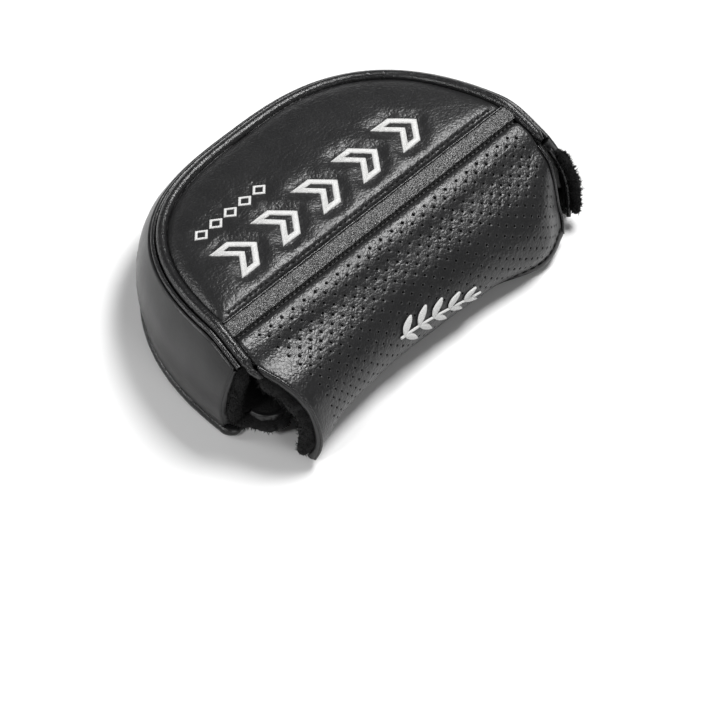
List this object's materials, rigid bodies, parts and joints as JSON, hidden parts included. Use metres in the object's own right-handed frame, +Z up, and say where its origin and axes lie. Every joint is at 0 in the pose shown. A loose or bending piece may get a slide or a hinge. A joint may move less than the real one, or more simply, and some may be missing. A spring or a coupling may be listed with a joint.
{
  "type": "putter head cover",
  "caption": "Padded leather cover for a half-moon mallet putter head, with a perforated flap that folds over the face and a magnetic closure tongue.",
  "frame": {"origin": "under the middle of the cover, on the surface that it lies on with its embroidered sole side up", "axes": "+X from the heel to the toe, +Y from the flap over the putter's face to the round back, +Z up out of the sole side"},
  "size_m": [0.1394, 0.0936, 0.0347],
  "materials": {
    "black_leather": "fine grain, satin",
    "smooth_leather": "smooth, satin",
    "trim_fabric": "nubby weave",
    "piping_leather": "smooth, soft gloss",
    "foam": "open cell",
    "plush": "deep pile",
    "stiffener": "matt",
    "magnet": "nickel plated",
    "black_thread": "twisted thread",
    "white_thread": "satin stitch"
  },
  "bodies": {
    "shell": {"sole_panel": "black_leather", "trim_strip": "trim_fabric", "flap_yoke": "black_leather", "sole_foam": "foam", "sole_lining": "plush", "gusset_wall": "smooth_leather", "wall_foam": "foam", "wall_lining": "plush", "crown_panel": "black_leather", "crown_foam": "foam", "crown_lining": "plush", "crown_front_binding": "smooth_leather", "crown_magnet_1": "magnet", "crown_magnet_2": "magnet", "crown_magnet_3": "magnet", "upper_piping": "piping_leather", "upper_welt": "piping_leather", "lower_piping": "piping_leather", "heel_hem": "smooth_leather", "toe_hem": "smooth_leather", "toe_mouth_welt": "piping_leather", "toe_plush_roll": "plush", "strip_topstitch": "black_thread", "yoke_topstitch": "black_thread", "heel_hem_stitch": "black_thread", "sole_chevron_1": "white_thread", "sole_chevron_2": "white_thread", "sole_chevron_3": "white_thread", "sole_chevron_4": "white_thread", "sole_chevron_5": "white_thread", "sole_chain": "white_thread"},
    "flap": {"face_flap": "black_leather", "flap_foam": "foam", "flap_lining": "plush", "heel_edge_binding": "smooth_leather", "toe_edge_binding": "smooth_leather", "flap_sprig": "white_thread"},
    "tongue": {"tongue_leather": "black_leather", "tongue_board": "stiffener", "tongue_lining": "smooth_leather", "tongue_magnet_1": "magnet", "tongue_magnet_2": "magnet", "tongue_magnet_3": "magnet"}
  },
  "joints": [
    {"name": "flap_fold", "type": "hinge", "parent": "shell", "child": "flap", "pos_m": [0, -0.02515, 0.02898], "axis": [-1, 0, 0], "range_deg": [0, 110]},
    {"name": "tongue_fold", "type": "hinge", "parent": "flap", "child": "tongue", "pos_m": [0, -0.03295, 0], "axis": [-1, 0, 0], "range_deg": [0, 75]}
  ]
}
